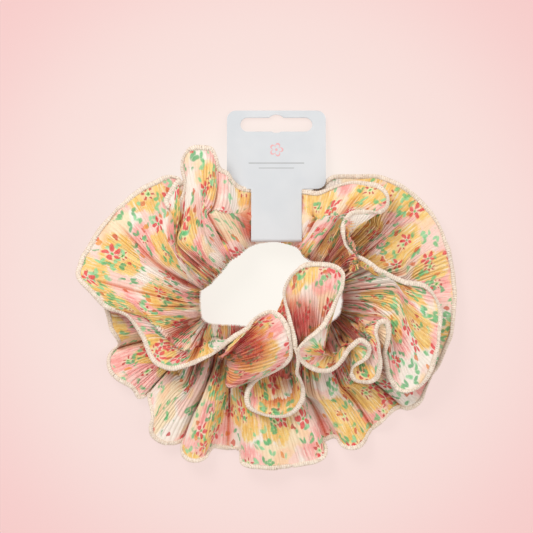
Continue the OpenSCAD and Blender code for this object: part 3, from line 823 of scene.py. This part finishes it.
class Tree:
    """A short way of writing a material's nodes."""

    def __init__(self, name):
        self.mat = bpy.data.materials.new(name)
        self.mat.use_nodes = True
        self.t = self.mat.node_tree
        self.t.nodes.clear()
        self.out = self.t.nodes.new("ShaderNodeOutputMaterial")
        self.bsdf = self.t.nodes.new("ShaderNodeBsdfPrincipled")
        self.t.links.new(self.bsdf.outputs[0], self.out.inputs[0])

    def put(self, sock, val):
        if isinstance(val, bpy.types.NodeSocket):
            self.t.links.new(val, sock)
        elif val is not None:
            sock.default_value = val

    def math(self, op, a, b=None, c=None, clamp=False):
        n = self.t.nodes.new("ShaderNodeMath")
        n.operation = op
        n.use_clamp = clamp
        for i, v in enumerate((a, b, c)):
            if v is not None:
                self.put(n.inputs[i], v)
        return n.outputs[0]

    def vec(self, op, a, b=None, scale=None, out=0):
        n = self.t.nodes.new("ShaderNodeVectorMath")
        n.operation = op
        self.put(n.inputs[0], a)
        if b is not None:
            self.put(n.inputs[1], b)
        if scale is not None:
            self.put(n.inputs["Scale"], scale)
        return n.outputs[out]

    def mix(self, f, a, b, kind="MIX"):
        n = self.t.nodes.new("ShaderNodeMix")
        n.data_type = "RGBA"
        n.blend_type = kind
        n.clamp_factor = True
        self.put(n.inputs[0], f)
        self.put(n.inputs[6], a)
        self.put(n.inputs[7], b)
        return n.outputs[2]

    def ramp(self, v, lo, hi, to_lo=0.0, to_hi=1.0, kind="SMOOTHSTEP"):
        n = self.t.nodes.new("ShaderNodeMapRange")
        n.interpolation_type = kind
        self.put(n.inputs[0], v)
        for i, x in enumerate((lo, hi, to_lo, to_hi)):
            n.inputs[i + 1].default_value = x
        return n.outputs[0]

    def noise(self, v, scale, detail=2.0, rough=0.5, dim="3D", color=False, dist=0.0):
        n = self.t.nodes.new("ShaderNodeTexNoise")
        n.noise_dimensions = dim
        self.put(n.inputs["Vector"], v)
        n.inputs["Scale"].default_value = scale
        n.inputs["Detail"].default_value = detail
        n.inputs["Roughness"].default_value = rough
        n.inputs["Distortion"].default_value = dist
        return n.outputs["Color" if color else "Fac"]

    def voronoi(self, v, scale, jitter=1.0, dim="2D"):
        n = self.t.nodes.new("ShaderNodeTexVoronoi")
        n.voronoi_dimensions = dim
        self.put(n.inputs["Vector"], v)
        n.inputs["Scale"].default_value = scale
        n.inputs["Randomness"].default_value = jitter
        return n

    def sep(self, v):
        n = self.t.nodes.new("ShaderNodeSeparateXYZ")
        self.put(n.inputs[0], v)
        return n.outputs

    def comb(self, x, y, z=0.0):
        n = self.t.nodes.new("ShaderNodeCombineXYZ")
        for i, v in enumerate((x, y, z)):
            self.put(n.inputs[i], v)
        return n.outputs[0]

    def attr(self, name):
        n = self.t.nodes.new("ShaderNodeAttribute")
        n.attribute_name = name
        return n.outputs["Fac"]

    def uv(self, name="Cloth"):
        n = self.t.nodes.new("ShaderNodeUVMap")
        n.uv_map = name
        return n.outputs[0]

    def obj(self):
        return self.t.nodes.new("ShaderNodeTexCoord").outputs["Object"]

    def bump(self, height, strength, distance, normal=None):
        n = self.t.nodes.new("ShaderNodeBump")
        n.inputs["Strength"].default_value = strength
        n.inputs["Distance"].default_value = distance
        self.put(n.inputs["Height"], height)
        if normal is not None:
            self.put(n.inputs["Normal"], normal)
        return n.outputs[0]

    def set(self, **kw):
        for k, v in kw.items():
            self.put(self.bsdf.inputs[k.replace("_", " ")], v)


def flower_layer(m, uv, scale, shift, radius, petals, chance, wobble=0.18, jitter=0.75, stretch=1.0, soft=0.03):
    """One layer of scattered blossoms: (mask, radius from the middle 0..1, random colour, angle, cell vector)."""
    moved = m.vec("ADD", uv, shift)
    v = m.voronoi(moved, scale, jitter)
    col = v.outputs["Color"]
    cx = m.sep(col)
    d = m.vec("SUBTRACT", moved, v.outputs["Position"])
    ds = m.sep(d)
    turn = m.math("MULTIPLY", cx[0], 6.283)
    cs, sn = m.math("COSINE", turn), m.math("SINE", turn)
    x = m.math("SUBTRACT", m.math("MULTIPLY", ds[0], cs), m.math("MULTIPLY", ds[1], sn))
    y = m.math("ADD", m.math("MULTIPLY", ds[0], sn), m.math("MULTIPLY", ds[1], cs))
    y = m.math("MULTIPLY", y, stretch)
    rr = m.math("SQRT", m.math("ADD", m.math("MULTIPLY", x, x), m.math("MULTIPLY", y, y)))
    a = m.math("ARCTAN2", y, x)
    # rounded petals: |cos| lobes
    lobes = m.math("ABSOLUTE", m.math("COSINE", m.math("MULTIPLY", a, petals / 2)))
    lobes = m.math("POWER", lobes, 0.6)
    size = m.math("ADD", m.math("MULTIPLY", lobes, wobble), 1 - wobble)
    edge_noise = m.noise(moved, 5.5, 2.0, 0.6)
    size = m.math("MULTIPLY", size, m.math("ADD", m.math("MULTIPLY", edge_noise, 0.3), 0.85))
    size = m.math("MULTIPLY", size, m.math("ADD", m.math("MULTIPLY", cx[1], 0.25), 0.88))
    rel = m.math("DIVIDE", m.math("DIVIDE", rr, radius), size)
    mask = m.ramp(rel, 1 + soft, 1 - soft)
    mask = m.math("MULTIPLY", mask, m.math("LESS_THAN", cx[2], chance))
    return mask, rel, cx, a, (x, y), rr


def petals_of(m, rr, a, count, far_, long_, wide, soft=0.22, mirror=None):
    """Rounded petals or dots set round a middle: far_ out, long_ and wide half-axes."""
    if mirror is None:
        step = 2 * math.pi / count
        q = m.math("SUBTRACT", m.math("FRACT", m.math("ADD", m.math("DIVIDE", a, step), 0.5)), 0.5)
        q = m.math("MULTIPLY", q, step)
    else:
        q = m.math("SUBTRACT", m.math("ABSOLUTE", a), mirror)
    x = m.math("SUBTRACT", m.math("MULTIPLY", rr, m.math("COSINE", q)), far_)
    y = m.math("MULTIPLY", rr, m.math("SINE", q))
    e = m.math("ADD", m.math("POWER", m.math("ABSOLUTE", m.math("DIVIDE", x, long_)), 2.0), m.math("POWER", m.math("ABSOLUTE", m.math("DIVIDE", y, wide)), 2.0))
    return m.ramp(e, 1 + soft * 2, max(0.1, 1 - soft * 2))


def fabric(name):
    m = Tree(name)
    uv = m.uv()
    # a little wander in the print, so no two blossoms are the same
    wander = m.vec("SCALE", m.vec("SUBTRACT", m.noise(uv, 1.1, 2.0, 0.5, "2D", True), (0.5, 0.5, 0.5)), scale=0.35)
    p = m.vec("ADD", uv, wander)
    fuzz = m.vec("ADD", p, m.vec("SCALE", m.vec("SUBTRACT", m.noise(m.vec("MULTIPLY", uv, (7.0, 2.2, 1.0)), 1.0, 3.0, 0.6, "2D", True), (0.5, 0.5, 0.5)), scale=0.20))
    half = m.vec("ADD", p, m.vec("SCALE", m.vec("SUBTRACT", fuzz, p), scale=0.4))
    valley = m.attr("valley")
    flute_shade_mask = m.attr("painted_shade")
    seam = m.attr("near_seam")
    streak = m.noise(m.vec("MULTIPLY", uv, (11.0, 0.9, 1.0)), 1.0, 3.0, 0.6, "2D")

    col = m.mix(m.noise(p, 1.3, 3.0, 0.6, "2D"), lin(240, 233, 221), lin(238, 220, 207))
    # soft washes of pink and yellow under everything
    wash = m.ramp(m.noise(fuzz, 0.45, 2.0, 0.5, "2D"), 0.50, 0.58)
    col = m.mix(m.math("MULTIPLY", wash, 0.55), col, lin(240, 180, 166))
    wash2 = m.ramp(m.noise(m.vec("ADD", fuzz, (7.3, 2.1, 0)), 0.5, 2.0, 0.5, "2D"), 0.52, 0.58)
    col = m.mix(m.math("MULTIPLY", wash2, 0.45), col, lin(242, 204, 128))

    # large soft blossoms, pink under yellow
    for scale, shift, radius, tints, chance, soft in (
            (0.40, (5.2, 3.3, 0), 1.02, (lin(238, 152, 146), lin(214, 80, 86), lin(248, 196, 186)), 0.76, 0.24),
            (0.42, (9.4, 7.1, 0), 0.80, (lin(240, 186, 92), lin(218, 140, 60), lin(247, 208, 128)), 0.36, 0.16),
            (0.385, (0.0, 0.0, 0), 1.12, (lin(230, 180, 84), lin(214, 140, 56), lin(240, 204, 122)), 0.80, 0.12)):
        mask, rel, cx, a, xy, rr = flower_layer(m, fuzz, scale, shift, radius, 5, chance, 0.18, 0.72, 1.15, soft)
        blot = m.noise(m.vec("MULTIPLY", p, (2.6, 1.1, 1.0)), 1.0, 3.0, 0.65, "2D")
        tint = m.mix(m.ramp(blot, 0.34, 0.66), tints[0], tints[2])
        tint = m.mix(m.ramp(streak, 0.52, 0.72, 0.0, 0.38), tint, tints[1])
        tint = m.mix(m.math("MULTIPLY", m.ramp(rel, 0.50, 0.12), 0.25), tint, tints[1])
        col = m.mix(m.math("MULTIPLY", mask, 0.96), col, tint)
        brush = m.math("MULTIPLY", m.ramp(m.noise(m.vec("MULTIPLY", uv, (13.0, 1.3, 1.0)), 1.0, 2.0, 0.6, "2D"), 0.56, 0.66), m.ramp(rel, 0.25, 0.95, 0.15, 0.75))
        col = m.mix(m.math("MULTIPLY", brush, mask), col, lin(240, 230, 214))
        halo = m.math("MULTIPLY", m.ramp(rr, radius * 0.42, radius * 0.20), m.math("LESS_THAN", cx[2], chance))
        col = m.mix(m.math("MULTIPLY", halo, 0.45), col, lin(244, 228, 198))
        # a loose ring of dark red dots round a pale green middle
        ring = petals_of(m, m.math("MULTIPLY", rr, m.math("ADD", m.math("MULTIPLY", blot, 0.5), 0.75)), a, 6, 0.24, 0.085, 0.052, 0.25)
        ring = m.math("MULTIPLY", ring, m.math("LESS_THAN", cx[2], chance))
        col = m.mix(m.math("MULTIPLY", ring, 0.88), col, lin(190, 42, 46))
        eye = m.math("MULTIPLY", m.ramp(rr, radius * 0.15, radius * 0.09), m.math("LESS_THAN", cx[2], chance))
        col = m.mix(eye, col, lin(206, 222, 160))
        pip = m.math("MULTIPLY", m.ramp(rr, radius * 0.07, radius * 0.04), m.math("LESS_THAN", cx[2], chance))
        col = m.mix(pip, col, lin(96, 150, 70))

    # leaf strokes in pairs, in loose clusters and two greens
    for scale, shift, green, chance, where in (
            (1.50, (3.1, 9.2, 0), lin(78, 168, 106), 0.80, (2.2, 0.4, 0)), (1.38, (8.6, 1.7, 0), lin(132, 204, 146), 0.80, (6.7, 3.9, 0)),
            (1.42, (5.3, 12.4, 0), lin(98, 184, 116), 0.75, (1.3, 8.8, 0))):
        mask, rel, cx, a, xy, rr = flower_layer(m, half, scale, shift, 0.3, 2, 1.0, 0.45, 0.7, 1.0, 0.12)
        leaf = petals_of(m, rr, a, 2, 0.165, 0.150, 0.088, 0.30, 0.66)
        patch = m.math("MULTIPLY", m.ramp(m.noise(m.vec("ADD", p, where), 0.7, 1.0, 0.5, "2D"), 0.50, 0.56), m.math("LESS_THAN", cx[2], chance))
        col = m.mix(m.math("MULTIPLY", m.math("MULTIPLY", leaf, patch), 0.86), col, green)

    # red blossoms, petals apart round a white middle
    for scale, shift, chance in ((0.56, (1.7, 4.4, 0), 0.50), (0.51, (11.7, 2.3, 0), 0.42)):
        mask, rel, cx, a, xy, rr = flower_layer(m, m.vec("ADD", p, m.vec("SCALE", m.vec("SUBTRACT", fuzz, p), scale=0.5)), scale, shift, 0.52, 5, chance, 0.34, 0.85, 1.0, 0.08)
        here = m.math("LESS_THAN", cx[2], chance)
        size = m.math("ADD", m.math("MULTIPLY", cx[1], 0.35), 0.70)
        r2 = m.math("DIVIDE", rr, size)
        petal = petals_of(m, r2, a, 5, 0.27, 0.175, 0.105, 0.24)
        red = m.mix(m.noise(p, 5.0, 2.0, 0.6, "2D"), lin(204, 18, 42), lin(234, 74, 76))
        white = m.math("MULTIPLY", m.ramp(r2, 0.42, 0.12), here)
        col = m.mix(m.math("MULTIPLY", white, 0.75), col, lin(240, 228, 212))
        col = m.mix(m.math("MULTIPLY", m.math("MULTIPLY", petal, here), 0.90), col, red)
        col = m.mix(m.math("MULTIPLY", m.ramp(r2, 0.09, 0.05), here), col, lin(128, 176, 96))

    # small dabs between them
    mask, rel, cx, a, xy, rr = flower_layer(m, fuzz, 1.25, (2.9, 6.1, 0), 0.14, 3, 0.36, 0.25, 0.95, 1.2, 0.10)
    dab = m.mix(cx[0], lin(196, 44, 52), lin(232, 150, 60))
    col = m.mix(m.math("MULTIPLY", mask, 0.85), col, dab)

    # painted shade: the colour turns darker and redder along the pleat valleys, the gathers and the folds, and darker
    # still near the channel seam
    painted_shade = m.mix(1.0, col, lin(228, 150, 112), "MULTIPLY")
    col = m.mix(m.ramp(valley, 0.10, 0.95, 0.0, 0.88), col, painted_shade)
    seam_shade_colour = m.mix(1.0, col, lin(208, 104, 80), "MULTIPLY")
    col = m.mix(m.math("MULTIPLY", m.ramp(seam, 0.25, 1.0), m.ramp(valley, 0.10, 0.85, 0.10, 0.85)), col, seam_shade_colour)

    # painted shade: deep inside the flutes the colour turns darker and redder, down to dark red at the deepest spots
    flute_shade_colour = m.mix(1.0, col, lin(222, 128, 108), "MULTIPLY")
    col = m.mix(m.math("MULTIPLY", m.ramp(flute_shade_mask, 0.0, 0.6), m.ramp(streak, 0.30, 0.62, 0.55, 1.0)), col, flute_shade_colour)
    col = m.mix(m.math("MULTIPLY", m.ramp(flute_shade_mask, 0.40, 1.0), m.ramp(streak, 0.38, 0.60, 0.25, 0.85)), col, lin(176, 40, 44))

    # weave: fine crossing yarns with a soft crinkle
    s = m.sep(uv)
    warp = m.math("SINE", m.math("MULTIPLY", s[0], 6.283 * 26))
    weft = m.math("SINE", m.math("MULTIPLY", s[1], 6.283 * 26))
    weave = m.math("MULTIPLY", warp, weft)
    slub = m.noise(m.vec("MULTIPLY", uv, (3.0, 22.0, 1.0)), 1.0, 2.0, 0.6, "2D")
    crinkle = m.noise(m.vec("MULTIPLY", uv, (9.0, 1.6, 1.0)), 1.0, 3.0, 0.6, "2D")
    h = m.math("ADD", m.math("MULTIPLY", weave, 0.10), m.math("MULTIPLY", crinkle, 1.0))
    h = m.math("ADD", h, m.math("MULTIPLY", slub, 0.35))
    col = m.mix(m.ramp(slub, 0.35, 0.7, 0.0, 0.10), col, lin(255, 246, 232))
    m.set(Base_Color=col, Roughness=m.ramp(slub, 0.2, 0.8, 0.80, 0.92), Normal=m.bump(h, 0.6, 0.00045),
          Sheen_Weight=0.15, Sheen_Roughness=0.5, Specular_IOR_Level=0.22)
    m.bsdf.inputs["Sheen Tint"].default_value = (1.0, 0.93, 0.86, 1.0)
    return m.mat


def overlock(name):
    m = Tree(name)
    uv = m.uv()
    s = m.sep(uv)
    wrap = m.attr("wrap")
    cell = m.noise(m.vec("MULTIPLY", uv, (1.1, 0.35, 1.0)), 1.0, 3.0, 0.65, "2D")
    col = m.mix(m.ramp(cell, 0.35, 0.65), lin(232, 213, 193), lin(245, 232, 215))
    # painted shade in the grooves between the thread's wraps
    col = m.mix(m.ramp(wrap, 0.45, 0.0, 0.0, 0.40), col, lin(206, 172, 144))
    speck = m.ramp(m.noise(m.vec("MULTIPLY", uv, (2.3, 1.3, 1.0)), 1.0, 1.0, 0.5, "2D"), 0.70, 0.74)
    col = m.mix(m.math("MULTIPLY", speck, 0.75), col, lin(120, 86, 74))
    twist = m.math("SINE", m.math("ADD", m.math("MULTIPLY", s[0], 16.0), m.math("MULTIPLY", s[1], 6.0)))
    fuzz = m.noise(uv, 7.0, 3.0, 0.7, "2D")
    h = m.math("ADD", m.math("MULTIPLY", twist, 0.35), fuzz)
    m.set(Base_Color=col, Roughness=m.ramp(fuzz, 0.2, 0.8, 0.66, 0.85), Normal=m.bump(h, 0.6, 0.00018),
          Sheen_Weight=0.3, Sheen_Roughness=0.4, Specular_IOR_Level=0.3)
    return m.mat


def sewing(name, a, b):
    m = Tree(name)
    o = m.obj()
    s = m.sep(o)
    tw = m.math("SINE", m.math("MULTIPLY", m.math("ADD", m.math("ADD", s[0], s[1]), m.math("MULTIPLY", s[2], 1.3)), 6.283 * 2600))
    n = m.noise(o, 900.0, 3.0, 0.6)
    # painted shade: the colour follows the thread's twist and relief, darker in its low places
    col = m.mix(m.math("ADD", m.math("MULTIPLY", tw, 0.25), n), a, b)
    m.set(Base_Color=col, Roughness=m.ramp(n, 0.2, 0.8, 0.5, 0.75), Normal=m.bump(m.math("ADD", tw, n), 0.5, 0.0001),
          Sheen_Weight=0.2, Specular_IOR_Level=0.4)
    return m.mat


def braid(name):
    m = Tree(name)
    uv = m.uv()
    s = m.sep(uv)
    rib = m.math("SINE", m.math("MULTIPLY", s[1], 6.283 * 9))
    knit = m.math("SINE", m.math("ADD", m.math("MULTIPLY", s[0], 6.283 * 9), m.math("MULTIPLY", rib, 1.2)))
    n = m.noise(uv, 14.0, 2.0, 0.6, "2D")
    h = m.math("ADD", m.math("MULTIPLY", rib, 0.6), m.math("MULTIPLY", knit, 0.5))
    # painted shade: the colour follows the braid's ribs and knit, darker in their grooves
    col = m.mix(m.ramp(h, -0.9, 0.9), lin(206, 202, 194), lin(244, 242, 236))
    col = m.mix(m.math("MULTIPLY", n, 0.2), col, lin(226, 218, 206))
    m.set(Base_Color=col, Roughness=m.ramp(n, 0.2, 0.8, 0.6, 0.8), Normal=m.bump(h, 0.6, 0.0002), Sheen_Weight=0.15, Specular_IOR_Level=0.35)
    return m.mat


def card_stock(name, printed):
    m = Tree(name)
    o = m.obj()
    s = m.sep(o)
    fibre = m.noise(m.vec("MULTIPLY", o, (900.0, 500.0, 900.0)), 1.0, 4.0, 0.7)
    mottle = m.noise(o, 60.0, 2.0, 0.5)
    col = m.mix(m.ramp(mottle, 0.3, 0.7), lin(197, 200, 203), lin(203, 205, 207))
    col = m.mix(m.ramp(fibre, 0.62, 0.8, 0.0, 0.35), col, lin(190, 192, 194))
    if printed:
        # a plain drawn blossom and two rules, in place of the maker's printing
        lo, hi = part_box("card_back_panel")
        cx = (lo.x + hi.x) / 2
        x = m.math("SUBTRACT", s[0], cx)
        y = m.math("SUBTRACT", s[1], 0.0615)
        rr = m.math("SQRT", m.math("ADD", m.math("MULTIPLY", x, x), m.math("MULTIPLY", y, y)))
        a = m.math("ARCTAN2", y, x)
        lobe = m.math("ABSOLUTE", m.math("COSINE", m.math("MULTIPLY", a, 2.5)))
        size = m.math("ADD", m.math("MULTIPLY", m.math("POWER", lobe, 0.6), 0.0018), 0.0012)
        rel = m.math("DIVIDE", rr, size)
        out = m.math("MULTIPLY", m.ramp(m.math("ABSOLUTE", m.math("SUBTRACT", rel, 0.92)), 0.16, 0.08), 1.0)
        dot = m.ramp(rr, 0.0007, 0.0005)
        col = m.mix(m.math("MULTIPLY", m.math("MAXIMUM", out, dot), 0.8), col, lin(226, 150, 150))
        for yy, half, w in ((0.0555, 0.0125, 0.00022), (0.0533, 0.0080, 0.00016)):
            ln = m.ramp(m.math("ABSOLUTE", m.math("SUBTRACT", s[1], yy)), w * 1.6, w)
            en = m.ramp(m.math("ABSOLUTE", x), half, half - 0.0003)
            col = m.mix(m.math("MULTIPLY", m.math("MULTIPLY", ln, en), 0.65), col, lin(150, 150, 150))
    # painted shade: a slightly warm, pinkish tint near the crease, in place of the shade and the pink light the cloth
    # throws on the card there
    crease = m.ramp(m.math("SUBTRACT", s[1], 0.0204), 0.0012, 0.0)
    col = m.mix(m.math("MULTIPLY", crease, 0.35), col, lin(206, 176, 170))
    m.set(Base_Color=col, Roughness=m.ramp(fibre, 0.2, 0.8, 0.52, 0.68), Normal=m.bump(m.math("ADD", m.math("MULTIPLY", fibre, 0.6), m.math("MULTIPLY", mottle, 2.0)), 0.25, 0.0001),
          Specular_IOR_Level=0.4)
    return m.mat


def give(ob, mat):
    ob.data.materials.clear()
    ob.data.materials.append(mat)


cloth_mat = fabric("pleated_floral_cloth")
lock_mat = overlock("merrow_overlock_thread")
thread_mat = sewing("sewing_thread_peach", lin(214, 150, 120), lin(240, 190, 158))
white_thread = sewing("sewing_thread_white", lin(214, 210, 204), lin(244, 242, 238))
for ob in (front_ob, rear_ob, casing_ob):
    give(ob, cloth_mat)
for ob in (front_edge, rear_edge, closing_ob):
    give(ob, lock_mat)
give(elastic_ob, braid("braided_elastic"))
give(join_ob, white_thread)
give(channel_ob, thread_mat)
give(card_front, card_stock("header_card_print_side", True))
give(card_back, card_stock("header_card_plain_side", False))

# ------------------------------------------------------------------ what each piece rides on
for ob in (front_ob, rear_ob, casing_ob, front_edge, rear_edge, elastic_ob, join_ob, channel_ob, closing_ob):
    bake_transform(ob)
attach(card_front, "card_front")
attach(card_back, "card_back")

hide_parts("front_frill_left", "front_frill_right")
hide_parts("rear_frill_left", "rear_frill_right")
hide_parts("casing_left", "casing_right")
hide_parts("front_edging_left", "front_edging_right")
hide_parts("rear_edging_left", "rear_edging_right")
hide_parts("elastic_band")
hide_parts("elastic_join_stitch")
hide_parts("channel_stitch_left", "channel_stitch_right")
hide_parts("closing_seam")
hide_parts("card_front_panel")
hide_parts("card_back_panel")

# ------------------------------------------------------------------ floor, lights, camera
def floor():
    me = bpy.data.meshes.new("floor")
    me.from_pydata([(-3, -3, 0), (3, -3, 0), (3, 3, 0), (-3, 3, 0)], [], [(0, 1, 2, 3)])
    ob = bpy.data.objects.new("floor", me)
    bpy.context.scene.collection.objects.link(ob)
    ob.location.z = cad_box[0][2] - 0.0002
    m = Tree("pale_paper_floor")
    o = m.obj()
    s = m.sep(m.vec("SUBTRACT", o, (0.0, 0.0095, 0.0)))
    r = m.math("SQRT", m.math("ADD", m.math("MULTIPLY", s[0], s[0]), m.math("MULTIPLY", s[1], s[1])))
    grain = m.noise(o, 700.0, 3.0, 0.6)
    # painted light: the floor glows by its own emission, so shadows on it stay faint, and it is brighter and whiter
    # round the object and pinker towards the edges
    col = m.mix(m.ramp(r, 0.015, 0.10), FLOOR_IN, FLOOR_MID)
    col = m.mix(m.ramp(r, 0.09, 0.175), col, FLOOR_OUT)
    m.set(Base_Color=m.mix(1.0, col, (0.13, 0.13, 0.13, 1), "MULTIPLY"), Roughness=m.ramp(grain, 0.2, 0.8, 0.86, 0.94),
          Normal=m.bump(grain, 0.05, 0.00005), Specular_IOR_Level=0.1, Emission_Color=col, Emission_Strength=0.89)
    me.materials.append(m.mat)
    return ob


FLOOR_IN, FLOOR_MID, FLOOR_OUT = lin(252, 248, 240), lin(243, 220, 215), lin(241, 200, 198)
floor()


def softbox(name, loc, target, size, energy, colour=(1, 1, 1)):
    li = bpy.data.lights.new(name, "AREA")
    li.shape = "RECTANGLE"
    li.size, li.size_y = size
    li.energy = energy
    li.color = colour
    ob = bpy.data.objects.new(name, li)
    ob.location = loc
    ob.rotation_euler = (Vector(target) - Vector(loc)).to_track_quat("-Z", "Y").to_euler()
    bpy.context.scene.collection.objects.link(ob)
    return ob


softbox("key", (-0.55, 0.75, 1.05), (0, 0, 0), (0.6, 0.6), 11.9, (1.0, 0.995, 0.985))
softbox("fill", (0.85, -0.35, 0.95), (0, 0, 0), (1.0, 1.0), 5.4, (1.0, 0.985, 0.975))
bpy.context.scene.view_settings.view_transform = "Standard"
world = bpy.data.worlds.new("studio")
world.use_nodes = True
world.node_tree.nodes["Background"].inputs[0].default_value = (0.995, 0.985, 0.98, 1.0)
world.node_tree.nodes["Background"].inputs[1].default_value = 0.62
bpy.context.scene.world = world

cam = bpy.data.cameras.new("camera")
cam.sensor_width = 36.0
cam.lens = 304.0
cam.clip_start, cam.clip_end = 0.05, 20
cam_ob = bpy.data.objects.new("camera", cam)
bpy.context.scene.collection.objects.link(cam_ob)
cam_ob.location = (-0.0002, 0.0095, 2.0 + 0.008)
cam_ob.rotation_euler = (0, 0, 0)
bpy.context.scene.camera = cam_ob
